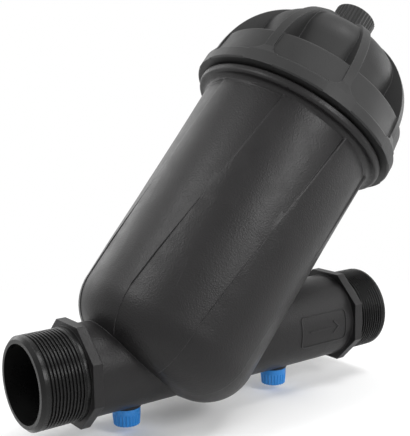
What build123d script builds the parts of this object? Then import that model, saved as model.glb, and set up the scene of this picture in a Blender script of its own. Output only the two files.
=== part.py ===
from build123d import *
import math
import os

os.makedirs("parts", exist_ok=True)

# Y filter for irrigation pipe: one moulded Y housing with a threaded nipple at each end of the
# pipe, a leaning barrel that holds a screen cartridge, a big finned screw cover on the barrel,
# a flush cap on the cover and two test plugs under the pipe.
# X runs along the pipe from the inlet face, Z is up, the origin is the centre of the inlet face.

# Pipe and its threaded ends
thread_major_r = 29.8
nipple_chamfer = 2.2
nipple_bore_r = 25.1
passage_r = 24.6
pipe_r = 30.2
inlet_run = 93.5
outlet_run = 194.1
inlet_thread_length = 29.0
outlet_thread_length = 27.5
collar_across_flats = 65.0
collar_thickness = 6.5
inlet_collar_x = 32.0
outlet_collar_gap = 30.3

# Barrel: a stands for distance along the barrel's axis from where it crosses the pipe's axis
barrel_angle = 49.6
barrel_r = 63.5
barrel_top_r = 64.5
barrel_wall = 4.0
crown_a = -16.1
crown_radius = 177.0
corner_radius = 34.0
flange_r = 72.0
flange_top_a = 188.3
flange_side = 3.0
flange_round = 2.5
flange_under_round = 4.5
flange_edge = 0.8
neck_r = 67.4
neck_height = 20.7

# Raised panels round the barrel, each standing proud at one edge and flush at the other
panel_count = 8
panel_top_a = 180.5
panel_start_a = 24.0
panel_rise = 2.0
panel_low_rise = 0.6
panel_sink = 0.15
panel_wall_slope = 42.0
panel_edge_angle_top = 87.0
panel_edge_angle_low = 68.0

# Seat for the cartridge, at the top of the inlet bowl
seat_r = 40.0
seat_wall = 4.5
seat_top_a = 38.0
inlet_bore_reach = 14.0
outlet_bore_start = 50.0

# Screen cartridge
cartridge_r = 45.0
cage_wall = 3.4
cage_rib_count = 12
cage_rib_width = 5.0
cage_bay_count = 5
cage_hoop_height = 4.0
end_ring_height = 9.0
end_ring_lip = 3.0
screen_thickness = 0.6
spigot_length = 9.0
spigot_wall = 5.0
handle_width = 9.0
handle_depth = 5.0
handle_drop = 3.0

# Seals
cover_ring_section = 4.4
spigot_ring_section = 3.2
plug_ring_section = 1.8
plug_ring_proud = 0.3
top_seal_height = 3.0
top_seal_width = 5.0
cap_gasket_height = 2.2

# Cover
cover_gap = 1.9
rim_r = 77.0
rim_height = 8.8
rim_edge = 1.0
pocket_low_r = 74.0
pocket_top_r = 71.9
pocket_height = 20.2
ledge_edge = 1.2
hub_r = 54.6
hub_height = 49.4
hub_corner = 26.0
hub_crown = 3.0
hub_foot_round = 4.0
cover_wall = 4.0
shoulder_gap = 3.6
press_ring_wall = 6.0
press_ring_height = 12.3
fin_count = 8
fin_first_angle = 22.0
fin_thickness = 6.6
fin_foot_round = 8.0
fin_core_r = 22.0
fin_low_r = 74.3
fin_flat_r = 3.8
fin_dome_rise = 6.0

# Flush port on the cover and its cap
port_r = 13.2
port_bore_r = 9.5
port_height = 17.4
port_foot_r = 17.2
port_foot_height = 3.0
cap_r = 15.7
cap_roof = 2.6
cap_skirt_length = 12.6
cap_rib_count = 36
cap_rib_depth = 0.7
cap_edge = 0.9

# Test plugs under the pipe
inlet_plug_x = 73.0
outlet_plug_x = 199.0
boss_r = 9.8
boss_drop = 0.2
tap_r = 6.8
plug_shank_r = 6.5
plug_head_r = 9.3
plug_head_height = 11.4
plug_band = 3.8
plug_rib_count = 24
plug_rib_depth = 0.55
plug_taper = 4.0
plug_shank_length = 6.4

# Clearances
seal_gap = 0.3
slide_gap = 0.4
thread_clearance = 0.5
groove_play = 0.15

# Values that follow from the sizes above
total_run = inlet_run + outlet_run
outlet_thread_x = total_run - outlet_thread_length
outlet_collar_x = total_run - outlet_collar_gap - collar_thickness
inlet_bore_length = inlet_collar_x + collar_thickness
outlet_bore_length = outlet_collar_gap + collar_thickness
collar_r = collar_across_flats / 2 / math.cos(math.pi / 8)
cavity_r = barrel_r - barrel_wall
straight_high_a = flange_top_a - flange_side - flange_round - flange_under_round
neck_top_a = flange_top_a + neck_height
rim_low_a = flange_top_a + cover_gap
rim_top_a = rim_low_a + rim_height
cover_bore_r = neck_r + thread_clearance
shoulder_a = neck_top_a + shoulder_gap
ledge_a = rim_top_a + pocket_height
hub_top_a = ledge_a + hub_height
hub_corner_a = hub_top_a - hub_crown - hub_corner
press_root_a = hub_top_a - hub_crown - cover_wall
press_face_a = press_root_a - press_ring_height
cartridge_top_a = press_face_a - seal_gap - top_seal_height
port_top_a = hub_top_a + port_height
screen_r = cartridge_r - cage_wall
screen_low_a = seat_top_a + slide_gap + end_ring_height
screen_high_a = cartridge_top_a - end_ring_height
spigot_r = seat_r - slide_gap
top_seal_r = screen_r - screen_thickness
boss_face_z = -pipe_r - boss_drop
cap_roof_a = port_top_a + seal_gap + cap_gasket_height
cap_top_a = cap_roof_a + cap_roof
cap_skirt_a = port_top_a - cap_skirt_length
ring_inner_r = spigot_r - spigot_wall
spigot_ring_r = seat_r - seal_gap - spigot_ring_section / 2
spigot_groove_r = spigot_ring_r - spigot_ring_section / 2
spigot_groove_low = seat_top_a - spigot_length / 2 - spigot_ring_section / 2 - groove_play
spigot_groove_high = seat_top_a - spigot_length / 2 + spigot_ring_section / 2 + groove_play
fin_foot_y = fin_thickness / 2 + fin_foot_round
fin_dome_radius = fin_low_r - fin_flat_r
fin_dome_a = rim_top_a + fin_dome_rise
fin_crest_a = fin_dome_a + fin_dome_radius
cover_ring_r = (cavity_r + neck_r) / 2
press_ring_r = top_seal_r - top_seal_width / 2
plug_ring_r = plug_shank_r + groove_play + plug_ring_section / 2
plug_top_z = boss_face_z - seal_gap - plug_ring_proud

# Frames: across is radial towards the upper left, along is the barrel's axis
lean = math.radians(barrel_angle)
along = Vector(math.cos(lean), 0, math.sin(lean))
across = Vector(-math.sin(lean), 0, math.cos(lean))
crossing = Vector(inlet_run, 0, 0)
barrel_axis = Axis(crossing, along)
barrel_section = Plane(origin=crossing, x_dir=across, z_dir=(0, 1, 0))
barrel_base = Plane(origin=crossing, x_dir=across, z_dir=along)


def level(distance):
    """Plane square to the barrel's axis, at this distance along it."""
    return barrel_base.offset(distance)


def on_barrel(radius, angle, distance):
    """Point at a radius and an angle round the barrel's axis, at a distance along it."""
    turn = math.radians(angle)
    spot = Vector(radius * math.cos(turn), radius * math.sin(turn), distance)
    return barrel_base.from_local_coords(spot)


def ring_section(inner_r, outer_r, low, high):
    """Rectangle of a turned ring, in a section plane whose second direction is the axis."""
    with Locations(((inner_r + outer_r) / 2, (low + high) / 2)):
        Rectangle(outer_r - inner_r, high - low)


def dish_swing(radius, inset):
    """Angle of the crown arc, where it runs into the corner arc of the closed end."""
    return math.asin((radius - corner_radius + inset) / (crown_radius - corner_radius))


def corner_start_a(radius, inset):
    """Where the closed end's corner arc runs into the straight side."""
    swing = dish_swing(radius, inset)
    return crown_a + crown_radius - (crown_radius - corner_radius) * math.cos(swing)


def dished_end(radius, inset):
    """Crown and corner arcs of the barrel's closed lower end, set in by a wall."""
    swing = math.degrees(dish_swing(radius, inset))
    corner = corner_radius - inset
    CenterArc((0, crown_a + crown_radius), crown_radius - inset, -90, swing)
    CenterArc((radius - corner, corner_start_a(radius, inset)), corner, swing - 90, 90 - swing)


def dished_outline(radius, inset, top):
    """Half outline of a round space with the dished end, up to a flat top."""
    with BuildLine() as outline:
        dished_end(radius, inset)
        Polyline((radius, corner_start_a(radius, inset)), (radius, top), (0, top), (0, crown_a + inset))
    return outline.edges()


straight_low_a = corner_start_a(barrel_r, 0)


def straight_r(distance):
    """Barrel's radius on its tapered straight length."""
    share = (distance - straight_low_a) / (straight_high_a - straight_low_a)
    return barrel_r + share * (barrel_top_r - barrel_r)


def panel_edge(angle, slope):
    """Slanted plane along one panel edge, leaning back from the radial direction by a slope."""
    low_angle = angle - panel_edge_angle_top + panel_edge_angle_low
    high = on_barrel(barrel_top_r, angle, panel_top_a)
    low = on_barrel(barrel_r, low_angle, panel_start_a)
    radial = on_barrel(1, (angle + low_angle) / 2, 0) - crossing
    sideways = (high - low).cross(radial).normalized()
    leaning = radial * math.cos(math.radians(slope)) - sideways * math.sin(math.radians(slope))
    return Plane(origin=high, x_dir=high - low, z_dir=(high - low).cross(leaning))


def side_shift(angle, rise):
    """How far a panel's circle moves sideways, to rise at one edge and lie flush at the other."""
    step = 360 / panel_count
    reach = rise / math.sin(math.radians(step))
    turn = math.radians(angle - step + 90)
    return (reach * math.cos(turn), reach * math.sin(turn))


def slanted_panel(angle):
    """One panel: a slice of a circle that leans out towards the panel's proud edge."""
    low_angle = angle - panel_edge_angle_top + panel_edge_angle_low
    with BuildPart(mode=Mode.PRIVATE) as panel:
        with BuildSketch(level(panel_start_a)):
            with Locations(side_shift(low_angle, panel_low_rise + panel_sink)):
                Circle(straight_r(panel_start_a) - panel_sink)
        with BuildSketch(level(panel_top_a)):
            with Locations(side_shift(angle, panel_rise + panel_sink)):
                Circle(straight_r(panel_top_a) - panel_sink)
        loft()
        split(bisect_by=panel_edge(angle, panel_wall_slope), keep=Keep.BOTTOM)
        split(bisect_by=panel_edge(angle - 360 / panel_count, 0), keep=Keep.TOP)
    return panel.part


def half_plane(angle):
    """Plane through the barrel's axis at an angle round it."""
    radial = on_barrel(1, angle, 0) - crossing
    return Plane(origin=crossing, x_dir=along, z_dir=along.cross(radial))


def ball_panel(angle):
    """The same panel carried on round the closed end: a wedge of the dished form, moved sideways."""
    low_angle = angle - panel_edge_angle_top + panel_edge_angle_low
    shift_x, shift_y = side_shift(low_angle, panel_low_rise + panel_sink)
    middle = barrel_base.from_local_coords(Vector(shift_x, shift_y, 0))
    radius = straight_r(panel_start_a) - panel_sink
    with BuildPart(mode=Mode.PRIVATE) as wedge:
        with BuildSketch(Plane(origin=middle, x_dir=across, z_dir=(0, 1, 0))):
            make_face(dished_outline(radius, panel_sink, panel_start_a))
        revolve(axis=Axis(middle, along))
        split(bisect_by=half_plane(low_angle), keep=Keep.BOTTOM)
        split(bisect_by=half_plane(low_angle - 360 / panel_count), keep=Keep.TOP)
    return wedge.part


# Bowl that leads the inlet into the cartridge's seat, inside the barrel
with BuildPart() as inlet_bowl:
    with BuildSketch(level(crown_a)):
        Circle(seat_r + seat_wall)
    extrude(amount=seat_top_a - crown_a)
    with BuildSketch(Plane.YZ.offset(inlet_collar_x)):
        Circle(pipe_r)
    extrude(amount=inlet_run - inlet_collar_x)
    with BuildSketch(barrel_section):
        make_face(dished_outline(cavity_r + barrel_wall / 2, barrel_wall / 2, seat_top_a))
    revolve(axis=barrel_axis, mode=Mode.INTERSECT)

with BuildPart() as bowl_space:
    with BuildSketch(level(crown_a)):
        Circle(seat_r)
    extrude(amount=seat_top_a - crown_a)
    with BuildSketch(barrel_section):
        make_face(dished_outline(cavity_r, barrel_wall, seat_top_a))
    revolve(axis=barrel_axis, mode=Mode.INTERSECT)

panel_turns = [panel_edge_angle_top + number * 360 / panel_count for number in range(panel_count)]
panels = [slanted_panel(turn) for turn in panel_turns]
ball_panels = [ball_panel(turn) for turn in panel_turns]

# The housing: barrel and pipe in one, hollowed, with the bowl and seat left standing inside
with BuildPart() as housing:
    with BuildSketch(barrel_section):
        with BuildLine():
            dished_end(barrel_r, 0)
            Line((barrel_r, straight_low_a), (barrel_top_r, straight_high_a))
            CenterArc((barrel_top_r + flange_under_round, straight_high_a), flange_under_round, 180, -90)
            Line(
                (barrel_top_r + flange_under_round, straight_high_a + flange_under_round),
                (flange_r - flange_round, straight_high_a + flange_under_round),
            )
            CenterArc((flange_r - flange_round, flange_top_a - flange_side), flange_round, -90, 90)
            Polyline(
                (flange_r, flange_top_a - flange_side),
                (flange_r, flange_top_a - flange_edge),
                (flange_r - flange_edge, flange_top_a),
                (neck_r, flange_top_a),
                (neck_r, neck_top_a),
                (0, neck_top_a),
                (0, crown_a),
            )
        make_face()
    revolve(axis=barrel_axis)
    add(panels)
    add(ball_panels)

    with BuildSketch(Plane.XZ):
        Polygon(
            (0, 0),
            (0, thread_major_r - nipple_chamfer),
            (nipple_chamfer, thread_major_r),
            (inlet_thread_length, thread_major_r),
            (inlet_thread_length, pipe_r),
            (outlet_thread_x, pipe_r),
            (outlet_thread_x, thread_major_r),
            (total_run - nipple_chamfer, thread_major_r),
            (total_run, thread_major_r - nipple_chamfer),
            (total_run, 0),
            align=None,
        )
    revolve(axis=Axis.X)
    for collar_x in (inlet_collar_x, outlet_collar_x):
        with BuildSketch(Plane.YZ.offset(collar_x)):
            RegularPolygon(collar_r, 8, rotation=22.5)
        extrude(amount=collar_thickness)
    for plug_x in (inlet_plug_x, outlet_plug_x):
        with BuildSketch(Plane.XY.offset(boss_face_z)):
            with Locations((plug_x, 0)):
                Circle(boss_r)
        extrude(amount=-boss_face_z - passage_r)

    with BuildSketch(barrel_section):
        make_face(dished_outline(cavity_r, barrel_wall, neck_top_a))
    revolve(axis=barrel_axis, mode=Mode.SUBTRACT)
    with BuildSketch(Plane.YZ.offset(inlet_run + outlet_bore_start)):
        Circle(passage_r)
    extrude(amount=outlet_run - outlet_bore_start, mode=Mode.SUBTRACT)
    add(inlet_bowl.part)
    add(bowl_space.part, mode=Mode.SUBTRACT)
    with BuildSketch(Plane.YZ):
        Circle(passage_r)
    extrude(amount=inlet_run + inlet_bore_reach, mode=Mode.SUBTRACT)
    for bore_x, bore_length in ((0, inlet_bore_length), (total_run, -outlet_bore_length)):
        with BuildSketch(Plane.YZ.offset(bore_x)):
            Circle(nipple_bore_r)
        extrude(amount=bore_length, mode=Mode.SUBTRACT)
    for plug_x in (inlet_plug_x, outlet_plug_x):
        with BuildSketch(Plane.XY.offset(boss_face_z)):
            with Locations((plug_x, 0)):
                Circle(tap_r)
        extrude(amount=pipe_r, mode=Mode.SUBTRACT)
housing.part.label = "housing"
export_step(housing.part, "parts/housing.step")

# Screen cartridge, from its spigot in the seat up to the ring under the cover
with BuildPart() as cartridge_bottom_ring:
    with BuildSketch(barrel_section):
        ring_section(ring_inner_r, spigot_r, seat_top_a - spigot_length, screen_low_a)
        ring_section(ring_inner_r, cartridge_r, seat_top_a + slide_gap, screen_low_a)
        ring_section(ring_inner_r, top_seal_r, screen_low_a, screen_low_a + end_ring_lip)
    revolve(axis=barrel_axis)
    with BuildSketch(barrel_section):
        ring_section(spigot_groove_r, seat_r, spigot_groove_low, spigot_groove_high)
    revolve(axis=barrel_axis, mode=Mode.SUBTRACT)
cartridge_bottom_ring.part.label = "cartridge_bottom_ring"
export_step(cartridge_bottom_ring.part, "parts/cartridge_bottom_ring.step")

with BuildPart() as lower_cartridge_seal:
    with BuildSketch(barrel_section):
        with Locations((spigot_ring_r, (spigot_groove_low + spigot_groove_high) / 2)):
            Circle(spigot_ring_section / 2)
    revolve(axis=barrel_axis)
lower_cartridge_seal.part.label = "lower_cartridge_seal"
export_step(lower_cartridge_seal.part, "parts/lower_cartridge_seal.step")

with BuildPart() as screen_sleeve:
    with BuildSketch(level(screen_low_a)):
        Circle(screen_r)
        Circle(top_seal_r, mode=Mode.SUBTRACT)
    extrude(amount=screen_high_a - screen_low_a)
screen_sleeve.part.label = "screen_sleeve"
export_step(screen_sleeve.part, "parts/screen_sleeve.step")

with BuildPart() as cartridge_cage:
    with BuildSketch(level(screen_low_a)):
        with PolarLocations(cartridge_r - cage_wall / 2, cage_rib_count):
            Rectangle(cage_wall, cage_rib_width)
        Circle(screen_r, mode=Mode.SUBTRACT)
    extrude(amount=screen_high_a - screen_low_a)
    for bay in range(cage_bay_count + 1):
        hoop_step = (screen_high_a - screen_low_a - cage_hoop_height) / cage_bay_count
        with BuildSketch(level(screen_low_a + bay * hoop_step)):
            Circle(cartridge_r)
            Circle(screen_r, mode=Mode.SUBTRACT)
        extrude(amount=cage_hoop_height)
cartridge_cage.part.label = "cartridge_cage"
export_step(cartridge_cage.part, "parts/cartridge_cage.step")

with BuildPart() as cartridge_top_ring:
    with BuildSketch(barrel_section):
        ring_section(top_seal_r - top_seal_width, cartridge_r, screen_high_a, cartridge_top_a)
        ring_section(top_seal_r - top_seal_width, top_seal_r, screen_high_a - end_ring_lip, screen_high_a)
    revolve(axis=barrel_axis)
    with BuildSketch(level(cartridge_top_a - handle_drop)):
        Rectangle(handle_width, 2 * top_seal_r - top_seal_width)
    extrude(amount=-handle_depth)
cartridge_top_ring.part.label = "cartridge_top_ring"
export_step(cartridge_top_ring.part, "parts/cartridge_top_ring.step")

with BuildPart() as upper_cartridge_seal:
    with BuildSketch(level(cartridge_top_a)):
        Circle(top_seal_r)
        Circle(top_seal_r - top_seal_width, mode=Mode.SUBTRACT)
    extrude(amount=top_seal_height)
upper_cartridge_seal.part.label = "upper_cartridge_seal"
export_step(upper_cartridge_seal.part, "parts/upper_cartridge_seal.step")


def fin_face(number):
    """Plane that faces out of one fin, with the barrel's axis as its first direction."""
    turn = math.radians(fin_first_angle + number * 360 / fin_count)
    outward = across * math.cos(turn) - Vector(0, 1, 0) * math.sin(turn)
    return Plane(origin=crossing + outward * fin_core_r, x_dir=along, z_dir=outward)


# Grip fins of the cover: plates with flared feet, cut to one domed outline
with BuildPart() as cover_fins:
    for number in range(fin_count):
        with BuildSketch(fin_face(number)):
            with BuildLine():
                Polyline(
                    (rim_top_a, fin_foot_y),
                    (rim_low_a, fin_foot_y),
                    (rim_low_a, -fin_foot_y),
                    (rim_top_a, -fin_foot_y),
                )
                CenterArc((rim_top_a + fin_foot_round, -fin_foot_y), fin_foot_round, 180, -90)
                Polyline(
                    (rim_top_a + fin_foot_round, -fin_thickness / 2),
                    (cap_top_a, -fin_thickness / 2),
                    (cap_top_a, fin_thickness / 2),
                    (rim_top_a + fin_foot_round, fin_thickness / 2),
                )
                CenterArc((rim_top_a + fin_foot_round, fin_foot_y), fin_foot_round, 270, -90)
            make_face()
        extrude(amount=rim_r - fin_core_r)
    with BuildSketch(barrel_section):
        with BuildLine():
            Polyline(
                (fin_low_r, fin_dome_a),
                (rim_r, rim_top_a),
                (rim_r, rim_low_a),
                (0, rim_low_a),
                (0, fin_crest_a),
                (fin_flat_r, fin_crest_a),
            )
            CenterArc((fin_flat_r, fin_dome_a), fin_dome_radius, 0, 90)
        make_face()
    revolve(axis=barrel_axis, mode=Mode.INTERSECT)

# The cover: rim, pocket wall, ledge and hub turned in one, with the fins and the flush port
with BuildPart() as cover:
    with BuildSketch(barrel_section):
        with BuildLine():
            Polyline(
                (0, rim_low_a),
                (rim_r - rim_edge, rim_low_a),
                (rim_r, rim_low_a + rim_edge),
                (rim_r, rim_top_a - rim_edge),
                (rim_r - rim_edge, rim_top_a),
                (pocket_low_r, rim_top_a),
                (pocket_top_r, ledge_a - ledge_edge),
                (pocket_top_r - ledge_edge, ledge_a),
                (hub_r + hub_foot_round, ledge_a),
            )
            CenterArc((hub_r + hub_foot_round, ledge_a + hub_foot_round), hub_foot_round, 270, -90)
            Line((hub_r, ledge_a + hub_foot_round), (hub_r, hub_corner_a))
            CenterArc((hub_r - hub_corner, hub_corner_a), hub_corner, 0, 90)
            Polyline((hub_r - hub_corner, hub_top_a - hub_crown), (0, hub_top_a), (0, rim_low_a))
        make_face()
    revolve(axis=barrel_axis)
    add(cover_fins.part)
    with BuildSketch(level(hub_corner_a)):
        Circle(port_foot_r)
    extrude(amount=hub_top_a + port_foot_height - hub_corner_a)
    with BuildSketch(level(hub_corner_a)):
        Circle(port_r)
    extrude(amount=port_top_a - hub_corner_a)

    with BuildSketch(barrel_section):
        with BuildLine():
            Polyline(
                (0, rim_low_a),
                (cover_bore_r, rim_low_a),
                (cover_bore_r, shoulder_a),
                (hub_r - cover_wall, shoulder_a),
                (hub_r - cover_wall, hub_corner_a),
            )
            CenterArc((hub_r - hub_corner, hub_corner_a), hub_corner - cover_wall, 0, 90)
            Polyline(
                (hub_r - hub_corner, hub_top_a - hub_crown - cover_wall),
                (0, hub_top_a - cover_wall),
                (0, rim_low_a),
            )
        make_face()
    revolve(axis=barrel_axis, mode=Mode.SUBTRACT)
    with BuildSketch(barrel_section):
        ring_section(
            cover_ring_r - cover_ring_section / 2 - seal_gap,
            cover_ring_r + cover_ring_section / 2 + seal_gap,
            shoulder_a,
            neck_top_a + cover_ring_section + 2 * seal_gap,
        )
        ring_section(0, port_bore_r, hub_corner_a, port_top_a)
    revolve(axis=barrel_axis, mode=Mode.SUBTRACT)
    with BuildSketch(barrel_section):
        ring_section(
            press_ring_r - press_ring_wall / 2,
            press_ring_r + press_ring_wall / 2,
            press_face_a,
            press_root_a,
        )
    revolve(axis=barrel_axis)
cover.part.label = "cover"
export_step(cover.part, "parts/cover.step")

with BuildPart() as cover_o_ring:
    with BuildSketch(barrel_section):
        with Locations((cover_ring_r, neck_top_a + seal_gap + cover_ring_section / 2)):
            Circle(cover_ring_section / 2)
    revolve(axis=barrel_axis)
cover_o_ring.part.label = "cover_o_ring"
export_step(cover_o_ring.part, "parts/cover_o_ring.step")


def ribbed_outline(radius, depth, count):
    """Corner points of a circle with fine ribs, alternating between crest and root."""
    points = []
    for number in range(2 * count):
        turn = math.pi * number / count
        reach = radius - depth * (number % 2)
        points.append((reach * math.cos(turn), reach * math.sin(turn)))
    return points


# Flush cap: a ribbed cup over the port, with a flat gasket under its roof
with BuildPart() as flush_cap:
    with BuildSketch(level(cap_skirt_a)):
        Polygon(*ribbed_outline(cap_r, cap_rib_depth, cap_rib_count), align=None)
    extrude(amount=cap_top_a - cap_skirt_a)
    with BuildSketch(barrel_section):
        Polygon(
            (0, cap_skirt_a),
            (cap_r - cap_edge, cap_skirt_a),
            (cap_r, cap_skirt_a + cap_edge),
            (cap_r, cap_top_a - cap_edge),
            (cap_r - cap_edge, cap_top_a),
            (0, cap_top_a),
            align=None,
        )
    revolve(axis=barrel_axis, mode=Mode.INTERSECT)
    with BuildSketch(level(cap_skirt_a)):
        Circle(port_r + thread_clearance)
    extrude(amount=cap_roof_a - cap_skirt_a, mode=Mode.SUBTRACT)
flush_cap.part.label = "flush_cap"
export_step(flush_cap.part, "parts/flush_cap.step")

with BuildPart() as flush_cap_gasket:
    with BuildSketch(level(port_top_a + seal_gap)):
        Circle(port_r + thread_clearance - seal_gap)
        Circle(port_bore_r, mode=Mode.SUBTRACT)
    extrude(amount=cap_gasket_height)
flush_cap_gasket.part.label = "flush_cap_gasket"
export_step(flush_cap_gasket.part, "parts/flush_cap_gasket.step")

# Test plugs under the inlet and the outlet, each with an O-ring in a groove of its head
for name, plug_x in (("inlet", inlet_plug_x), ("outlet", outlet_plug_x)):
    with BuildPart() as test_plug:
        with BuildSketch(Plane.XY.offset(plug_top_z)):
            with Locations((plug_x, 0)):
                Circle(plug_head_r)
        extrude(amount=-plug_band)
        with BuildSketch(Plane.XY.offset(plug_top_z - plug_band)):
            with Locations((plug_x, 0)):
                Polygon(*ribbed_outline(plug_head_r, plug_rib_depth, plug_rib_count), align=None)
        extrude(amount=plug_band - plug_head_height, taper=plug_taper)
        with BuildSketch(Plane.XY.offset(plug_top_z)):
            with Locations((plug_x, 0)):
                Circle(plug_ring_r + plug_ring_section / 2 + groove_play)
                Circle(plug_shank_r, mode=Mode.SUBTRACT)
        extrude(amount=plug_ring_proud - plug_ring_section - groove_play, mode=Mode.SUBTRACT)
        with BuildSketch(Plane.XY.offset(plug_top_z)):
            with Locations((plug_x, 0)):
                Circle(plug_shank_r)
        extrude(amount=plug_shank_length)
    test_plug.part.label = f"{name}_test_plug"
    export_step(test_plug.part, f"parts/{name}_test_plug.step")

    with BuildPart() as plug_o_ring:
        with BuildSketch(Plane.XZ):
            with Locations((plug_x + plug_ring_r, boss_face_z - seal_gap - plug_ring_section / 2)):
                Circle(plug_ring_section / 2)
        revolve(axis=Axis((plug_x, 0, 0), (0, 0, 1)))
    plug_o_ring.part.label = f"{name}_plug_o_ring"
    export_step(plug_o_ring.part, f"parts/{name}_plug_o_ring.step")
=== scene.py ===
import math

import bmesh
import bpy
from mathutils import Matrix, Vector


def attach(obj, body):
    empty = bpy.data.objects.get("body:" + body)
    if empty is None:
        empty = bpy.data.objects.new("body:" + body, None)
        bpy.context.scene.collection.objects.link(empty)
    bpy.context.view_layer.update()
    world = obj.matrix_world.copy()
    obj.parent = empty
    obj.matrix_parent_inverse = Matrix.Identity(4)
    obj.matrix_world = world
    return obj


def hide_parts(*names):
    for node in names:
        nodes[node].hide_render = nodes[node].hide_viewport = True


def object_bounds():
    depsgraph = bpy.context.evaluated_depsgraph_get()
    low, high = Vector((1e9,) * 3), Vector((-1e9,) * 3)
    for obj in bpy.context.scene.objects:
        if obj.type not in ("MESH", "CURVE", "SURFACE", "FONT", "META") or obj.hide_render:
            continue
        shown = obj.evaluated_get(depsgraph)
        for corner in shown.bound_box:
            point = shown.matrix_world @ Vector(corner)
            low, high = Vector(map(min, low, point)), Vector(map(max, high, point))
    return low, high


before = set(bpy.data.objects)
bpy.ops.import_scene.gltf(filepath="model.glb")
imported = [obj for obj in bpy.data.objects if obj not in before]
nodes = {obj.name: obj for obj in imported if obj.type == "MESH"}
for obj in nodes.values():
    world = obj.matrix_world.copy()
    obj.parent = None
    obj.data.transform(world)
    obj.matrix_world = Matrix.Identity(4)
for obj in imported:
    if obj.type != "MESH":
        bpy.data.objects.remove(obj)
cad_low, cad_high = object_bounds()


# Studio. The filter hangs close above a plain pale floor in front of nothing, with soft lamps round it, and
# the camera looks at it from the inlet's side, a little from above. The floor leaves room for the test plugs,
# which come down a little when they are unscrewed.
MM = 0.001
scene = bpy.context.scene
scene.view_settings.view_transform = "Standard"

camera_data = bpy.data.cameras.new("camera")
camera_data.sensor_fit = "VERTICAL"
camera_data.sensor_height = 36
camera_data.lens = 75.69
camera_data.clip_end = 50
camera = bpy.data.objects.new("camera", camera_data)
camera_place = Vector((-0.2206, -0.4956, 0.1870))
camera_right = Vector((0.8068, -0.5905, -0.0191)).normalized()
camera_back = -Vector((0.5803, 0.7981, -0.1619)).normalized()
camera_up = camera_back.cross(camera_right)
camera_turn = Matrix((camera_right, camera_up, camera_back)).transposed().to_4x4()
camera.matrix_world = Matrix.Translation(camera_place) @ camera_turn
scene.collection.objects.link(camera)
scene.camera = camera

world = bpy.data.worlds.new("studio")
scene.world = world
world.use_nodes = True
world_tree = world.node_tree


def white_to_camera(tree, shader):
    """Mixes a shader with plain white, seen by camera, mirror and glass rays only."""
    rays = tree.nodes.new("ShaderNodeLightPath")
    either = tree.nodes.new("ShaderNodeMath")
    either.operation = "MAXIMUM"
    tree.links.new(rays.outputs["Is Camera Ray"], either.inputs[0])
    tree.links.new(rays.outputs["Is Glossy Ray"], either.inputs[1])
    either_or_glass = tree.nodes.new("ShaderNodeMath")
    either_or_glass.operation = "MAXIMUM"
    tree.links.new(either.outputs[0], either_or_glass.inputs[0])
    tree.links.new(rays.outputs["Is Transmission Ray"], either_or_glass.inputs[1])
    white = tree.nodes.new("ShaderNodeBackground" if tree == world_tree else "ShaderNodeEmission")
    white.inputs["Color"].default_value = (1, 1, 1, 1)
    white.inputs["Strength"].default_value = 1.0
    mix = tree.nodes.new("ShaderNodeMixShader")
    tree.links.new(either_or_glass.outputs[0], mix.inputs[0])
    tree.links.new(shader.outputs[0], mix.inputs[1])
    tree.links.new(white.outputs[0], mix.inputs[2])
    return mix


soft_light = world_tree.nodes["Background"]
soft_light.inputs["Color"].default_value = (1, 1, 1, 1)
soft_light.inputs["Strength"].default_value = 0.55
world_out = world_tree.nodes["World Output"]
world_tree.links.new(white_to_camera(world_tree, soft_light).outputs[0], world_out.inputs["Surface"])

middle_x = 0.15
floor_reach = 6.0
fade_start, fade_end = 0.16, 0.42
plug_travel = 5.8 * MM
floor_z = cad_low.z - plug_travel
floor_ways = ((-1, -1), (1, -1), (1, 1), (-1, 1))
floor_corners = [(floor_reach * x, floor_reach * y, floor_z) for x, y in floor_ways]
floor_mesh = bpy.data.meshes.new("floor")
floor_mesh.from_pydata(floor_corners, [], [(0, 1, 2, 3)])
floor = bpy.data.objects.new("floor", floor_mesh)
scene.collection.objects.link(floor)
floor_paint = bpy.data.materials.new("pale_floor")
floor_paint.use_nodes = True
floor_tree = floor_paint.node_tree
floor_shader = floor_tree.nodes["Principled BSDF"]
floor_shader.inputs["Base Color"].default_value = (0.94, 0.94, 0.94, 1)
floor_shader.inputs["Roughness"].default_value = 0.9
floor_shader.inputs["Specular IOR Level"].default_value = 0.1
floor_place = floor_tree.nodes.new("ShaderNodeTexCoord")
floor_centre = floor_tree.nodes.new("ShaderNodeVectorMath")
floor_centre.operation = "DISTANCE"
floor_centre.inputs[1].default_value = (middle_x, 0, floor_z)
floor_tree.links.new(floor_place.outputs["Object"], floor_centre.inputs[0])
floor_fade = floor_tree.nodes.new("ShaderNodeMapRange")
floor_fade.interpolation_type = "SMOOTHSTEP"
floor_fade.inputs["From Min"].default_value = fade_start
floor_fade.inputs["From Max"].default_value = fade_end
floor_tree.links.new(floor_centre.outputs["Value"], floor_fade.inputs["Value"])
white_floor = white_to_camera(floor_tree, floor_shader)
floor_blend = floor_tree.nodes.new("ShaderNodeMixShader")
floor_tree.links.new(floor_fade.outputs["Result"], floor_blend.inputs[0])
floor_tree.links.new(floor_shader.outputs[0], floor_blend.inputs[1])
floor_tree.links.new(white_floor.outputs[0], floor_blend.inputs[2])
floor_out = floor_tree.nodes["Material Output"]
floor_tree.links.new(floor_blend.outputs[0], floor_out.inputs["Surface"])
floor_mesh.materials.append(floor_paint)


def lamp(name, place, aim, size, watts):
    """A square soft lamp that looks at a point."""
    data = bpy.data.lights.new(name, "AREA")
    data.size = size
    data.energy = watts
    light = bpy.data.objects.new(name, data)
    light.location = place
    light.rotation_euler = (Vector(aim) - Vector(place)).to_track_quat("-Z", "Y").to_euler()
    light.visible_camera = False
    scene.collection.objects.link(light)


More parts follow.
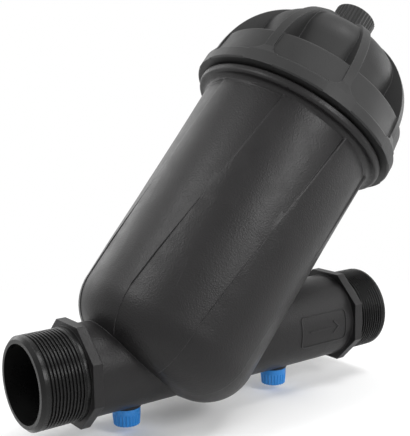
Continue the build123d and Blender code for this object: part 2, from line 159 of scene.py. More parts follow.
middle = (middle_x, 0, 0.08)
lamp("low_left", (-0.19, 0.018, 0.43), (0.06, 0, 0.06), 0.22, 1.3)
lamp("front_high", (0.23, -0.54, 0.31), (0.19, 0, 0.13), 0.2, 1.8)
lamp("right_low", (1.0, -0.25, 0.16), middle, 0.6, 4)
lamp("back_left", (0.0, 1.0, 0.55), middle, 0.9, 4.8)
lamp("top_soft", (0.55, -0.42, 1.2), middle, 0.45, 6)


def grain_group():
    """Grain of a moulded plastic face, with faint flow marks, as a height and as a roughness change."""
    group = bpy.data.node_groups.new("moulded_grain", "ShaderNodeTree")
    for name, low_value in (("Grain Size", 1400.0), ("Grain Depth", 0.5), ("Flow", 0.3)):
        socket = group.interface.new_socket(name=name, in_out="INPUT", socket_type="NodeSocketFloat")
        socket.default_value = low_value
    group.interface.new_socket(name="Height", in_out="OUTPUT", socket_type="NodeSocketFloat")
    group.interface.new_socket(name="Mottle", in_out="OUTPUT", socket_type="NodeSocketFloat")
    add, link = group.nodes.new, group.links.new
    ins, outs = add("NodeGroupInput"), add("NodeGroupOutput")
    place = add("ShaderNodeTexCoord")
    pores = add("ShaderNodeTexVoronoi")
    pores.feature = "SMOOTH_F1"
    link(place.outputs["Object"], pores.inputs["Vector"])
    link(ins.outputs["Grain Size"], pores.inputs["Scale"])
    fine = add("ShaderNodeTexNoise")
    fine.inputs["Detail"].default_value = 4
    link(place.outputs["Object"], fine.inputs["Vector"])
    link(ins.outputs["Grain Size"], fine.inputs["Scale"])
    both = add("ShaderNodeMath")
    both.operation = "ADD"
    link(pores.outputs["Distance"], both.inputs[0])
    link(fine.outputs["Fac"], both.inputs[1])
    depth = add("ShaderNodeMath")
    depth.operation = "MULTIPLY"
    link(both.outputs[0], depth.inputs[0])
    link(ins.outputs["Grain Depth"], depth.inputs[1])
    flow = add("ShaderNodeTexNoise")
    flow.inputs["Scale"].default_value = 22
    flow.inputs["Detail"].default_value = 3
    link(place.outputs["Object"], flow.inputs["Vector"])
    swell = add("ShaderNodeMath")
    swell.operation = "MULTIPLY"
    link(flow.outputs["Fac"], swell.inputs[0])
    link(ins.outputs["Flow"], swell.inputs[1])
    total = add("ShaderNodeMath")
    total.operation = "ADD"
    link(depth.outputs[0], total.inputs[0])
    link(swell.outputs[0], total.inputs[1])
    link(total.outputs[0], outs.inputs["Height"])
    mottle = add("ShaderNodeTexNoise")
    mottle.inputs["Scale"].default_value = 60
    mottle.inputs["Detail"].default_value = 6
    mottle.inputs["Roughness"].default_value = 0.65
    link(place.outputs["Object"], mottle.inputs["Vector"])
    link(mottle.outputs["Fac"], outs.inputs["Mottle"])
    return group


def edge_group():
    """Mask of the edges painted paler, partly for rubbing wear from handling and partly as a painted
    highlight where the edges catch the light, from how far a rounded normal leaves the face's own.
    """
    group = bpy.data.node_groups.new("wear_and_edge_highlight", "ShaderNodeTree")
    for name, value in (("Edge Width", 0.7 * MM), ("Sharpness", 6.0)):
        socket = group.interface.new_socket(name=name, in_out="INPUT", socket_type="NodeSocketFloat")
        socket.default_value = value
    group.interface.new_socket(name="Wear And Highlight", in_out="OUTPUT", socket_type="NodeSocketFloat")
    group.interface.new_socket(name="Rounded", in_out="OUTPUT", socket_type="NodeSocketVector")
    add, link = group.nodes.new, group.links.new
    ins, outs = add("NodeGroupInput"), add("NodeGroupOutput")
    rounded = add("ShaderNodeBevel")
    rounded.samples = 6
    link(ins.outputs["Edge Width"], rounded.inputs["Radius"])
    face = add("ShaderNodeNewGeometry")
    along_face = add("ShaderNodeVectorMath")
    along_face.operation = "DOT_PRODUCT"
    link(rounded.outputs["Normal"], along_face.inputs[0])
    link(face.outputs["Normal"], along_face.inputs[1])
    away = add("ShaderNodeMath")
    away.operation = "SUBTRACT"
    away.inputs[0].default_value = 1
    link(along_face.outputs["Value"], away.inputs[1])
    strong = add("ShaderNodeMath")
    strong.operation = "MULTIPLY"
    strong.use_clamp = True
    link(away.outputs[0], strong.inputs[0])
    link(ins.outputs["Sharpness"], strong.inputs[1])
    patches = add("ShaderNodeTexNoise")
    patches.inputs["Scale"].default_value = 90
    patches.inputs["Detail"].default_value = 3
    broken = add("ShaderNodeMapRange")
    broken.inputs["From Min"].default_value = 0.3
    broken.inputs["From Max"].default_value = 0.62
    link(patches.outputs["Fac"], broken.inputs["Value"])
    # Painted edge highlight with wear: the edge mask, broken into patches, that makes edges paler as if
    # rubbed and as if catching the light.
    wear_and_highlight = add("ShaderNodeMath")
    wear_and_highlight.operation = "MULTIPLY"
    link(strong.outputs[0], wear_and_highlight.inputs[0])
    link(broken.outputs["Result"], wear_and_highlight.inputs[1])
    link(wear_and_highlight.outputs[0], outs.inputs["Wear And Highlight"])
    link(rounded.outputs["Normal"], outs.inputs["Rounded"])
    return group


moulded_grain = grain_group()
wear_and_edge_highlight = edge_group()
dark_mottle, pale_mottle = 0.86, 1.16
smoother, rougher = 0.05, 0.06


def black_moulding(name, colour, wear_and_highlight_colour, shine, roughness, grain_size, grain_depth, edge_width):
    """Black polypropylene: mottled colour, grained face, edges a little rounder and painted paler, as rubbing
    wear and as a painted highlight.
    """
    paint = bpy.data.materials.new(name)
    paint.use_nodes = True
    tree = paint.node_tree
    add, link = tree.nodes.new, tree.links.new
    shader = tree.nodes["Principled BSDF"]
    shader.inputs["Specular IOR Level"].default_value = shine
    shader.inputs["IOR"].default_value = 1.49
    grain = add("ShaderNodeGroup")
    grain.node_tree = moulded_grain
    grain.inputs["Grain Size"].default_value = grain_size
    grain.inputs["Grain Depth"].default_value = 1.0
    grain.inputs["Flow"].default_value = 0.6
    edges = add("ShaderNodeGroup")
    edges.node_tree = wear_and_edge_highlight
    edges.inputs["Edge Width"].default_value = edge_width
    edges.inputs["Sharpness"].default_value = 5.0
    tone = add("ShaderNodeMix")
    tone.data_type = "RGBA"
    tone.inputs["A"].default_value = [c * dark_mottle for c in colour] + [1]
    tone.inputs["B"].default_value = [c * pale_mottle for c in colour] + [1]
    link(grain.outputs["Mottle"], tone.inputs["Factor"])
    # Edges painted paler: partly rubbing wear, partly a painted highlight where the edges catch the light.
    wear_and_highlight = add("ShaderNodeMix")
    wear_and_highlight.data_type = "RGBA"
    wear_and_highlight.inputs["B"].default_value = list(wear_and_highlight_colour) + [1]
    link(edges.outputs["Wear And Highlight"], wear_and_highlight.inputs["Factor"])
    link(tone.outputs["Result"], wear_and_highlight.inputs["A"])
    link(wear_and_highlight.outputs["Result"], shader.inputs["Base Color"])
    gloss = add("ShaderNodeMapRange")
    gloss.inputs["From Min"].default_value = 0.3
    gloss.inputs["From Max"].default_value = 0.7
    gloss.inputs["To Min"].default_value = roughness - smoother
    gloss.inputs["To Max"].default_value = roughness + rougher
    link(grain.outputs["Mottle"], gloss.inputs["Value"])
    link(gloss.outputs["Result"], shader.inputs["Roughness"])
    bump = add("ShaderNodeBump")
    bump.inputs["Strength"].default_value = 0.9
    bump.inputs["Distance"].default_value = grain_depth
    link(grain.outputs["Height"], bump.inputs["Height"])
    link(edges.outputs["Rounded"], bump.inputs["Normal"])
    link(bump.outputs["Normal"], shader.inputs["Normal"])
    return paint


def dress(piece, material):
    """Gives a piece one material in place of what it has."""
    piece.data.materials.clear()
    piece.data.materials.append(material)


def soften(piece, angle):
    """Shades a piece smooth, with every edge sharper than an angle in degrees kept crisp."""
    work = bmesh.new()
    work.from_mesh(piece.data)
    for face in work.faces:
        face.smooth = True
    for edge in work.edges:
        edge.smooth = edge.is_manifold and edge.calc_face_angle(0) < math.radians(angle)
    work.to_mesh(piece.data)
    work.free()


def turned_ring(name, place, profile_rows, steps):
    """A closed ring round a screw axis, from rows of (distance along, radius at each turn angle)."""
    mesh = bpy.data.meshes.new(name)
    points, faces = [], []
    for along, radius_at in profile_rows:
        for step in range(steps):
            turn = 2 * math.pi * step / steps
            radius = radius_at(turn)
            points.append(place @ Vector((radius * math.cos(turn), radius * math.sin(turn), along)))
    rows = len(profile_rows)
    for row in range(rows):
        for step in range(steps):
            here, there = row * steps, (row + 1) % rows * steps
            after = (step + 1) % steps
            faces.append((here + step, here + after, there + after, there + step))
    mesh.from_pydata(points, [], faces)
    ring = bpy.data.objects.new(name, mesh)
    scene.collection.objects.link(ring)
    return ring


crest_flat, crest_fall, run_out_share = 0.4, 1.1, 0.6
crisp_thread_angle = 50


def screw_thread(name, place, crest_r, root_r, inner_r, length, pitch, crest_share, rows_per_turn, steps):
    """A right-hand thread on a sleeve: rounded crests, wider roots, running out at both ends."""

    def rise(along, turn):
        phase = (along / pitch - turn / (2 * math.pi)) % 1
        from_crest = min(phase, 1 - phase) / (crest_share / 2)
        fall = min(1, max(0, (from_crest - crest_flat) / crest_fall))
        height = 0.5 + 0.5 * math.cos(fall * math.pi)
        run_out = min(1, along / (pitch * run_out_share), (length - along) / (pitch * run_out_share))
        return crest_r - (crest_r - root_r) * (1 - height) * max(0, run_out)

    count = max(4, int(length / pitch * rows_per_turn))
    rows = []
    for row in range(count + 1):
        along = length * row / count
        rows.append((along, lambda turn, along=along: rise(along, turn)))
    rows.append((length, lambda turn: inner_r))
    rows.append((0, lambda turn: inner_r))
    ring = turned_ring(name, place, rows, steps)
    soften(ring, crisp_thread_angle)
    return ring


def axis_place(origin, direction, first):
    """Placement whose third direction is a screw axis."""
    third = Vector(direction).normalized()
    side = third.cross(Vector(first)).normalized()
    return Matrix.Translation(origin) @ Matrix((side.cross(third), side, third)).transposed().to_4x4()


join_reach, split_edge_reach = 0.001 * MM, 0.002 * MM


def take_away(piece, cutter):
    """Cuts one closed solid out of a piece, and throws the cutter away."""
    work = bmesh.new()
    work.from_mesh(cutter.data)
    bmesh.ops.remove_doubles(work, verts=work.verts, dist=join_reach)
    bmesh.ops.recalc_face_normals(work, faces=work.faces)
    work.to_mesh(cutter.data)
    work.free()
    cut = piece.modifiers.new("cut", "BOOLEAN")
    cut.operation = "DIFFERENCE"
    cut.solver = "EXACT"
    cut.object = cutter
    result = bpy.data.meshes.new_from_object(piece.evaluated_get(bpy.context.evaluated_depsgraph_get()))
    piece.modifiers.clear()
    piece.data = result
    bpy.data.objects.remove(cutter)


ring_steps = 96


def drop_slivers(piece):
    """Takes out the hair-thin faces that cuts leave where two surfaces all but meet."""
    work = bmesh.new()
    work.from_mesh(piece.data)
    bmesh.ops.triangulate(work, faces=work.faces)
    bmesh.ops.remove_doubles(work, verts=work.verts, dist=split_edge_reach)
    bmesh.ops.dissolve_degenerate(work, edges=work.edges, dist=split_edge_reach)
    bmesh.ops.triangulate(work, faces=work.faces)
    seen = {}
    for face in work.faces:
        seen.setdefault(frozenset(face.verts), []).append(face)
    doubled = [face for faces in seen.values() if len(faces) > 1 for face in faces]
    bmesh.ops.delete(work, geom=doubled, context="FACES")
    work.to_mesh(piece.data)
    work.free()


def cut_back(piece, place, inner_r, outer_r, low, high):
    """Takes a ring of material off a piece, where a thread takes its place."""
    rows = [
        (low, lambda turn: inner_r),
        (low, lambda turn: outer_r),
        (high, lambda turn: outer_r),
        (high, lambda turn: inner_r),
    ]
    take_away(piece, turned_ring("cutter", place, rows, ring_steps))


def copy_of(node_name, name):
    """A copy of a CAD node to work on, with its split edges joined again."""
    mesh = nodes[node_name].data.copy()
    work = bmesh.new()
    work.from_mesh(mesh)
    bmesh.ops.remove_doubles(work, verts=work.verts, dist=split_edge_reach)
    work.to_mesh(mesh)
    work.free()
    mesh.name = name
    if mesh.has_custom_normals:
        mesh.normals_split_custom_set([(0, 0, 0)] * len(mesh.loops))
    piece = bpy.data.objects.new(name, mesh)
    scene.collection.objects.link(piece)
    return piece


# Each black moulding's second colour is its paler edge colour: rubbing wear and a painted edge highlight.
black_housing = black_moulding(
    name="black_housing",
    colour=(0.008, 0.0075, 0.0078),
    wear_and_highlight_colour=(0.03, 0.029, 0.03),
    shine=0.24,
    roughness=0.42,
    grain_size=1000,
    grain_depth=0.12 * MM,
    edge_width=0.8 * MM,
)
smooth_black = black_moulding(
    name="smooth_black",
    colour=(0.005, 0.005, 0.005),
    wear_and_highlight_colour=(0.016, 0.016, 0.016),
    shine=0.2,
    roughness=0.27,
    grain_size=2500,
    grain_depth=0.008 * MM,
    edge_width=0.3 * MM,
)
lean = math.radians(49.6)
barrel_foot = Vector((0.0935, 0, 0))
barrel_up = Vector((math.cos(lean), 0, math.sin(lean)))
barrel_side = Vector((-math.sin(lean), 0, math.cos(lean)))

inlet_start_x, outlet_start_x, neck_start_a = 4.2 * MM, 283.6 * MM, 190.4 * MM
inlet_length, outlet_length, neck_length = 24.6 * MM, 23.6 * MM, 16.8 * MM
inlet_place = axis_place((inlet_start_x, 0, 0), (1, 0, 0), (0, 0, 1))
outlet_place = axis_place((outlet_start_x, 0, 0), (-1, 0, 0), (0, 0, 1))
neck_place = axis_place(barrel_foot + barrel_up * neck_start_a, barrel_up, (0, 1, 0))

housing = copy_of("housing", "housing_moulding")

# Panels. Eight slanted panels run round the barrel like twisted planks, part of the housing's moulding. Above
# the middle each has a rounded left edge that stands over the panel before it, below the middle its right
# edge is raised. The moulding is cut back to that form, clear of the outlet pipe.
panel_low_a, panel_turn_a, panel_sunk_a, panel_high_a = 24 * MM, 97 * MM, 179.3 * MM, 180.5 * MM
low_edge_angle, high_edge_angle, panel_angle = 68, 87, 45
panel_count, panels_before = 8, 5
low_rise, turn_rise, left_rise, right_fall = 0.75 * MM, 1.2 * MM, 0.85 * MM, 1.1 * MM
round_angle, round_steps, face_steps, round_crowding = 1.5, 7, 13, 1.7
crease_depth, crease_angle, crease_fade = 0.5 * MM, 0.64, 4 * MM
panel_set_back = 0.15 * MM
wall_lean = math.radians(42)
wall_gap_angle = 0.1
side_low_a, side_high_a = 20.98 * MM, 178.3 * MM
side_low_r, side_high_r = 63.5 * MM, 64.5 * MM
cove_r = 4.5 * MM
clear_of_side = 0.02 * MM
rim_height, top_gap, top_height = 0.5 * MM, 0.02 * MM, 0.5 * MM
cutter_rows, low_cut_a, pipe_clear_angle = 30, 24.5 * MM, 150
high_reach, low_reach = 67.2 * MM, 75 * MM


def round_barrel(radius, angle, along):
    """Place in the barrel's own directions: round its axis by an angle in degrees, and along it."""
    turn = math.radians(angle)
    return Vector((radius * math.cos(turn), radius * math.sin(turn), along))


def side_radius(along):
    """Radius of the barrel's plain side, which widens a little towards the flange."""
    return side_low_r + (side_high_r - side_low_r) * (along - side_low_a) / (side_high_a - side_low_a)


edge_high = round_barrel(side_high_r, high_edge_angle, panel_high_a)
edge_low = round_barrel(side_low_r, low_edge_angle, panel_low_a)
edge_run = edge_high - edge_low
edge_out = round_barrel(1, (low_edge_angle + high_edge_angle) / 2, 0)
edge_side = edge_run.cross(edge_out).normalized()
wall_normal = edge_run.cross(edge_out * math.cos(wall_lean) - edge_side * math.sin(wall_lean))


def wall_angle(along, radius):
    """Angle round the barrel at which a panel's wall has a given radius."""
    reach = math.hypot(wall_normal.x, wall_normal.y)
    middle_angle = math.atan2(wall_normal.y, wall_normal.x)
    swing = math.acos((wall_normal.dot(edge_high) - wall_normal.z * along) / (radius * reach))
    share = (along - panel_low_a) / (panel_high_a - panel_low_a)
    expected = math.radians(low_edge_angle + (high_edge_angle - low_edge_angle) * share)
    answers = [middle_angle + way * swing - expected + math.pi for way in (-1, 1)]
    nearest = min([answer % (2 * math.pi) - math.pi for answer in answers], key=abs)
    return math.degrees(expected + nearest)


def face_radius(along, share):
    """Radius of a panel's face, from its left edge at share 0 to its right edge at share 1."""
    if along < panel_turn_a:
        part = (panel_turn_a - along) / (panel_turn_a - panel_low_a)
        rise = min(low_rise, part * turn_rise)
        swell = rise * math.sqrt(2) * math.sin(share * math.pi / 4) - panel_set_back
        return side_radius(along) + max(swell, 0)
    part = (along - panel_turn_a) / (panel_high_a - panel_turn_a)
    left_height = part * part * left_rise
    return side_radius(along) + left_height - (left_height + part * right_fall) * share


def panel_radius(along, offset):
    """Radius of a panel at an angle past its left edge, with the edge rounded where it stands proud."""
    radius = face_radius(along, offset / panel_angle)
    before = face_radius(along, 1)
    if along > panel_turn_a and offset < round_angle and before < radius:
        return before + (radius - before) * math.sqrt(1 - (1 - offset / round_angle) ** 2)
    grown = min(1, (panel_turn_a - along) / crease_fade)
    if grown > 0 and offset < grown * crease_angle:
        return radius - crease_depth * (grown - offset / crease_angle)
    return radius


def edge_angle(along):
    """Angle round the barrel of the first panel's right edge."""
    return wall_angle(along, max(face_radius(along, 0), face_radius(along, 1)))


def panel_cutter(low, high, limit, reach):
    """The space outside the panels between two heights, all round or up to a limit angle on either side."""
    heights = [low + (high - low) * row / cutter_rows for row in range(cutter_rows + 1)]
    if high > side_high_a:
        heights = [along for along in heights if along < side_high_a - 1 * MM]
        heights += [side_high_a, panel_sunk_a, panel_high_a]
        heights += [panel_high_a + top_gap, panel_high_a + top_height]
    else:
        heights.append(high + rim_height)
    round_shares = [(step / round_steps) ** round_crowding for step in range(round_steps)]
    offsets = [wall_gap_angle + (round_angle - wall_gap_angle) * share for share in round_shares]
    face_shares = [step / face_steps for step in range(face_steps + 1)]
    offsets += [round_angle + (panel_angle - round_angle) * share for share in face_shares]
    inner, outer = [], []
    for along in heights:
        edge = edge_angle(min(along, panel_high_a))
        cove = 0
        if along > panel_sunk_a:
            cove = side_high_r + cove_r - math.sqrt(cove_r**2 - (along - side_high_a) ** 2)
        for panel in range(-panels_before, panel_count - panels_before):
            first = edge + panel_angle * (panel - 1)
            for offset in offsets:
                angle = first + offset
                if limit and abs(angle) > limit:
                    angle = math.copysign(limit, angle)
                    offset = (angle - edge) % panel_angle
                radius = panel_radius(along, offset) if along < panel_high_a + top_gap / 2 else 0
                radius = max(radius, cove) + clear_of_side
                if high < side_high_a and along > high:
                    radius += rim_height
                for far, line in ((radius, inner), (reach, outer)):
                    point = round_barrel(far, angle, along)
                    upright = barrel_side * point.x + barrel_up * point.z
                    line.append(barrel_foot + upright + Vector((0, -point.y, 0)))
    width, count = panel_count * len(offsets), len(heights)
    points = inner + outer
    faces = []
    steps = width if not limit else width - 1
    for row in range(count - 1):
        for step in range(steps):
            after = (step + 1) % width
            for base in (0, count * width):
                start, above = base + row * width, base + (row + 1) * width
                faces.append((start + step, start + after, above + after, above + step))
    for row in (0, count - 1):
        for step in range(steps):
            after = (step + 1) % width
            inside, outside = row * width, (count + row) * width
            faces.append((inside + step, inside + after, outside + after, outside + step))
    if limit:
        for step in (0, width - 1):
            for row in range(count - 1):
                here, there = row * width + step, (row + 1) * width + step
                faces.append((here, there, there + count * width, here + count * width))
    mesh = bpy.data.meshes.new("panel_space")
    mesh.from_pydata(points, [], faces)
    cutter = bpy.data.objects.new("panel_space", mesh)
    scene.collection.objects.link(cutter)
    return cutter


take_away(housing, panel_cutter(panel_turn_a, panel_high_a, 0, high_reach))
take_away(housing, panel_cutter(low_cut_a, panel_turn_a, pipe_clear_angle, low_reach))
pipe_cut_inner, pipe_cut_outer = 27.7 * MM, 31 * MM
neck_cut_inner, neck_cut_outer = 64.0 * MM, 69 * MM
for place, cut_inner, cut_outer, length in (
    (inlet_place, pipe_cut_inner, pipe_cut_outer, inlet_length),
    (outlet_place, pipe_cut_inner, pipe_cut_outer, outlet_length),
    (neck_place, neck_cut_inner, neck_cut_outer, neck_length),
):
    cut_back(housing, place, cut_inner, cut_outer, 0, length)
drop_slivers(housing)
crisp_edge_angle = 28
soften(housing, crisp_edge_angle)
dress(housing, black_housing)
housing.data.materials.append(smooth_black)
inlet_collar_x, outlet_collar_x = 31.9 * MM, 257.4 * MM
for face in housing.data.polygons:
    on_nipple = face.center.x < inlet_collar_x or face.center.x > outlet_collar_x
    if on_nipple and math.hypot(face.center.y, face.center.z) < pipe_cut_outer:
        face.material_index = 1
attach(housing, "housing")
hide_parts("housing")

# Plate on the outlet pipe. A raised frame with a flow arrow in it, moulded with the housing: thin ribs with
# sloped sides that follow the round of the pipe and are sunk a little into it.
pipe_r = 30.2 * MM
rib_rise, rib_sink = 0.4 * MM, 0.3 * MM
rib_foot_share, rib_top_share = 0.5, 0.32
crisp_rib_angle = 30


def on_pipe(x, arc, height):
    """Point on the pipe's camera side, at a distance round it from its middle line."""
    turn = arc / pipe_r
    return Vector((x, -(pipe_r + height) * math.cos(turn), (pipe_r + height) * math.sin(turn)))


def raised_rib(name, route, width, closed):
    """A low rib with sloped sides along a route of (x, arc) points on the pipe."""
    section = [(-rib_foot_share, -rib_sink), (-rib_top_share, rib_rise)]
    section += [(rib_top_share, rib_rise), (rib_foot_share, -rib_sink)]
    points, faces = [], []
    count = len(route)
    for index, (x, arc) in enumerate(route):
        before = route[index - 1] if closed or index else route[0]
        after = route[(index + 1) % count] if closed or index < count - 1 else route[-1]
        run = Vector((after[0] - before[0], after[1] - before[1])).normalized()
        for across_share, height in section:
            step = width * across_share
            points.append(on_pipe(x - run.y * step, arc + run.x * step, height))
    corners = len(section)
    for index in range(count if closed else count - 1):
        here, there = index * corners, (index + 1) % count * corners
        for side in range(corners):
            after = (side + 1) % corners
            faces.append((here + side, here + after, there + after, there + side))
    if not closed:
        faces.append(tuple(range(corners)))
        faces.append(tuple(reversed(range((count - 1) * corners, count * corners))))
    mesh = bpy.data.meshes.new(name)
    mesh.from_pydata(points, [], faces)
    rib = bpy.data.objects.new(name, mesh)
    scene.collection.objects.link(rib)
    work = bmesh.new()
    work.from_mesh(mesh)
    bmesh.ops.recalc_face_normals(work, faces=work.faces)
    work.to_mesh(mesh)
    work.free()
    soften(rib, crisp_rib_angle)
    dress(rib, black_housing)
    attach(rib, "housing")


plate_low_x, plate_high_x, plate_reach, plate_corner = 201 * MM, 243.5 * MM, 11.4 * MM, 3.2 * MM
frame_step, frame_width, arrow_width = 2 * MM, 1.1 * MM, 1.6 * MM
corner_step, frame_steps = 15, 8
frame_route = []
for centre_x, centre_arc, start in (
    (plate_high_x - plate_corner, plate_reach - plate_corner, 0),
    (plate_low_x + plate_corner, plate_reach - plate_corner, 90),
    (plate_low_x + plate_corner, plate_corner - plate_reach, 180),
    (plate_high_x - plate_corner, plate_corner - plate_reach, 270),
):
    for turn in range(start, start + 90 + corner_step, corner_step):
        swing = math.radians(turn)
        corner_x = centre_x + plate_corner * math.cos(swing)
        corner_arc = centre_arc + plate_corner * math.sin(swing)
        frame_route.append((corner_x, corner_arc))
    if start == 90:
        drops = [plate_reach - plate_corner - (step + 1) * frame_step for step in range(frame_steps)]
        frame_route += [(plate_low_x, arc) for arc in drops if arc > plate_corner - plate_reach]
    if start == 270:
        rises = [plate_corner - plate_reach + (step + 1) * frame_step for step in range(frame_steps)]
        frame_route += [(plate_high_x, arc) for arc in rises if arc < plate_reach - plate_corner]
raised_rib("plate_frame", frame_route, frame_width, True)
shaft_start_x, shaft_step, shaft_points = 208 * MM, 2.2 * MM, 11
head_tip_x, head_step, head_rise, head_points = 236 * MM, 1 * MM, 0.9 * MM, 6
shaft_route = [(shaft_start_x + step * shaft_step, 0) for step in range(shaft_points)]
upper_route = [(head_tip_x - step * head_step, step * head_rise) for step in range(head_points)]
lower_route = [(head_tip_x - step * head_step, -step * head_rise) for step in range(head_points)]
raised_rib("arrow_shaft", shaft_route, arrow_width, False)
raised_rib("arrow_head_upper", upper_route, arrow_width, False)
raised_rib("arrow_head_lower", lower_route, arrow_width, False)

# Threads. The two pipe threads on the nipples and the coarse thread on the neck, in the same black plastic.
# Each is a sleeve that fills the ring cut back for it in the housing.
pipe_crest_r, pipe_root_r, pipe_sleeve_r = 29.8 * MM, 28.45 * MM, 27.6 * MM
pipe_pitch, pipe_crest_share = 2.309 * MM, 0.5
pipe_turn_rows, pipe_turn_steps = 14, 144
for name, place, length in (
    ("inlet_thread", inlet_place, inlet_length),
    ("outlet_thread", outlet_place, outlet_length),
):
    thread = screw_thread(
        name,
        place,
        pipe_crest_r,
        pipe_root_r,
        pipe_sleeve_r,
        length,
        pipe_pitch,
        pipe_crest_share,
        pipe_turn_rows,
        pipe_turn_steps,
    )
    dress(thread, smooth_black)
    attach(thread, "housing")

neck_crest_r, neck_root_r, neck_sleeve_r = 67.4 * MM, 65.3 * MM, 63.9 * MM
neck_pitch, neck_crest_share = 8 * MM, 0.4
neck_turn_rows, neck_turn_steps = 16, 192
neck_thread = screw_thread(
    "neck_thread",
    neck_place,
    neck_crest_r,
    neck_root_r,
    neck_sleeve_r,
    neck_length,
    neck_pitch,
    neck_crest_share,
    neck_turn_rows,
    neck_turn_steps,
)
dress(neck_thread, smooth_black)
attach(neck_thread, "housing")


# Cover. A second black moulding: a skirt with pockets round it, and a dome with eight grip fins and the flush
# port in its middle. It is screwed down over the neck by hand.
black_cover = black_moulding(
    name="black_cover",
    colour=(0.017, 0.017, 0.017),
    wear_and_highlight_colour=(0.06, 0.06, 0.061),
    shine=0.24,
    roughness=0.5,
    grain_size=1200,
    grain_depth=0.08 * MM,
    edge_width=0.8 * MM,
)
dress(nodes["cover"], black_cover)


# Flush cap. A small cap of black plastic with fine ribs for the fingers. It is screwed on the cover's flush
# port, and taken off to let the dirt out.
black_cap = black_moulding(
    name="black_cap",
    colour=(0.015, 0.015, 0.015),
    wear_and_highlight_colour=(0.04, 0.04, 0.04),
    shine=0.28,
    roughness=0.38,
    grain_size=2200,
    grain_depth=0.01 * MM,
    edge_width=0.3 * MM,
)
dress(nodes["flush_cap"], black_cap)


# Test plugs. Two small plugs of bright blue plastic, fluted for the fingers. They are screwed from below into
# tapped holes in the pipe, one before the screen and one behind it.
def blue_plastic(name):
    """Bright blue plastic with a little moulding mottle, and edges painted paler, as rubbing wear and as a
    painted highlight.
    """
    paint = bpy.data.materials.new(name)
    paint.use_nodes = True
    tree = paint.node_tree
    add, link = tree.nodes.new, tree.links.new
    shader = tree.nodes["Principled BSDF"]
    shader.inputs["IOR"].default_value = 1.49
    grain = add("ShaderNodeGroup")
    grain.node_tree = moulded_grain
    grain.inputs["Grain Size"].default_value = 2600
    grain.inputs["Grain Depth"].default_value = 0.6
    grain.inputs["Flow"].default_value = 0.8
    edges = add("ShaderNodeGroup")
    edges.node_tree = wear_and_edge_highlight
    edges.inputs["Edge Width"].default_value = 0.3 * MM
    edges.inputs["Sharpness"].default_value = 4.0
    tone = add("ShaderNodeMix")
    tone.data_type = "RGBA"
    tone.inputs["A"].default_value = (0.004, 0.155, 0.47, 1)
    tone.inputs["B"].default_value = (0.008, 0.21, 0.6, 1)
    link(grain.outputs["Mottle"], tone.inputs["Factor"])
    # Edges painted paler blue: partly rubbing wear, partly a painted highlight where the edges catch the
    # light.
    wear_and_highlight = add("ShaderNodeMix")
    wear_and_highlight.data_type = "RGBA"
    wear_and_highlight.inputs["B"].default_value = (0.10, 0.34, 0.72, 1)
    link(edges.outputs["Wear And Highlight"], wear_and_highlight.inputs["Factor"])
    link(tone.outputs["Result"], wear_and_highlight.inputs["A"])
    link(wear_and_highlight.outputs["Result"], shader.inputs["Base Color"])
    shader.inputs["Roughness"].default_value = 0.36
    bump = add("ShaderNodeBump")
    bump.inputs["Strength"].default_value = 0.6
    bump.inputs["Distance"].default_value = 0.03 * MM
    link(grain.outputs["Height"], bump.inputs["Height"])
    link(edges.outputs["Rounded"], bump.inputs["Normal"])
    link(bump.outputs["Normal"], shader.inputs["Normal"])
    return paint


blue_plug = blue_plastic("blue_plug")
for plug in ("inlet_test_plug", "outlet_test_plug"):
    dress(nodes[plug], blue_plug)


# Seals. Black rubber rings under the cover, on the plugs and at both ends of the cartridge, and the flat
# gasket of the cap. They are smooth from the mould and lie in their seats.
seal_rubber = black_moulding(
    name="seal_rubber",
    colour=(0.012, 0.012, 0.012),
    wear_and_highlight_colour=(0.02, 0.02, 0.02),
    shine=0.25,
    roughness=0.5,
    grain_size=3000,
    grain_depth=0.01 * MM,
    edge_width=0.2 * MM,
)
for seal in (
    "cover_o_ring",
    "flush_cap_gasket",
    "inlet_plug_o_ring",
    "outlet_plug_o_ring",
    "upper_cartridge_seal",
    "lower_cartridge_seal",
):
    dress(nodes[seal], seal_rubber)


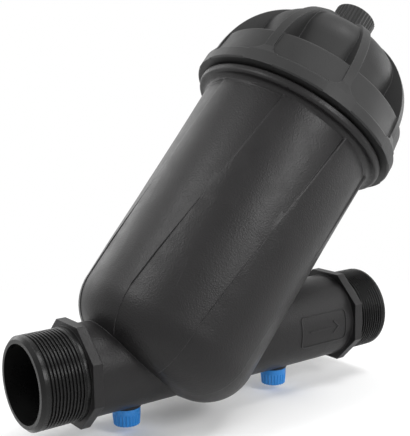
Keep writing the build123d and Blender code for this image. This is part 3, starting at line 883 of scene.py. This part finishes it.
# Cartridge. A ribbed cage of dark plastic between two end rings, with a sleeve of woven steel inside it. It
# stands on its seat in the barrel and is drawn out upwards once the cover is off.
cage_plastic = black_moulding(
    name="cage_plastic",
    colour=(0.022, 0.022, 0.025),
    wear_and_highlight_colour=(0.07, 0.07, 0.075),
    shine=0.3,
    roughness=0.42,
    grain_size=1800,
    grain_depth=0.02 * MM,
    edge_width=0.4 * MM,
)
for part in ("cartridge_cage", "cartridge_top_ring", "cartridge_bottom_ring"):
    dress(nodes[part], cage_plastic)


def woven_steel(name):
    """Woven stainless mesh, close enough that it reads as a patterned skin."""
    paint = bpy.data.materials.new(name)
    paint.use_nodes = True
    tree = paint.node_tree
    add, link = tree.nodes.new, tree.links.new
    shader = tree.nodes["Principled BSDF"]
    shader.inputs["Metallic"].default_value = 1.0
    shader.inputs["Roughness"].default_value = 0.36
    place = add("ShaderNodeTexCoord")
    turn = add("ShaderNodeMapping")
    turn.inputs["Rotation"].default_value = (0, lean - math.pi / 2, 0)
    link(place.outputs["Object"], turn.inputs["Vector"])
    weave = []
    for direction, wire_scale in (("Z", 320), ("DIAGONAL", 300)):
        wires = add("ShaderNodeTexWave")
        wires.wave_type = "BANDS"
        wires.bands_direction = direction
        wires.inputs["Scale"].default_value = wire_scale
        link(turn.outputs["Vector"], wires.inputs["Vector"])
        weave.append(wires)
    crossing = add("ShaderNodeMath")
    crossing.operation = "MULTIPLY"
    link(weave[0].outputs["Fac"], crossing.inputs[0])
    link(weave[1].outputs["Fac"], crossing.inputs[1])
    tone = add("ShaderNodeMix")
    tone.data_type = "RGBA"
    tone.inputs["A"].default_value = (0.16, 0.16, 0.155, 1)
    tone.inputs["B"].default_value = (0.66, 0.66, 0.64, 1)
    link(crossing.outputs[0], tone.inputs["Factor"])
    link(tone.outputs["Result"], shader.inputs["Base Color"])
    bump = add("ShaderNodeBump")
    bump.inputs["Strength"].default_value = 0.7
    bump.inputs["Distance"].default_value = 0.1 * MM
    link(crossing.outputs[0], bump.inputs["Height"])
    link(bump.outputs["Normal"], shader.inputs["Normal"])
    return paint


steel_screen = woven_steel("steel_screen")
dress(nodes["screen_sleeve"], steel_screen)
